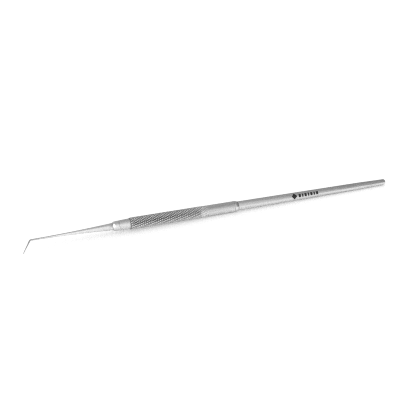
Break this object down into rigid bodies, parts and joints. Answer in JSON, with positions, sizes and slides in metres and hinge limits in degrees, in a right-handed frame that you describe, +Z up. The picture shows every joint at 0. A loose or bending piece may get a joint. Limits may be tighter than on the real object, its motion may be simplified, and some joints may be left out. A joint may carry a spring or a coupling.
{
  "type": "dental explorer",
  "caption": "Single-ended dental explorer: fine bent needle on a flared shank, knurled grip with a collar, and a long tapered tail rod, lying at rest.",
  "frame": {"origin": "centre of the footprint on the table, at the table's height", "axes": "+X along the handle from the needle to the tail, +Z up; the needle's point is on the -Y side and touches the table. The handle dips 0.599 degrees towards the tail, because it lies on its ring and on the end of its tapered rod."},
  "size_m": [0.1734, 0.0062, 0.0054],
  "materials": {
    "polished_tip_steel": "fine satin polish",
    "turned_steel": "turned, fine rings round the axis",
    "knurled_steel": "diamond knurl and satin turned ends",
    "brushed_rod_steel": "satin, brushed along its length"
  },
  "bodies": {
    "root": {"explorer_tip": "polished_tip_steel", "nose_collar": "turned_steel", "knurled_grip": "knurled_steel", "rear_ring": "turned_steel", "tail_rod": "brushed_rod_steel"}
  },
  "joints": []
}
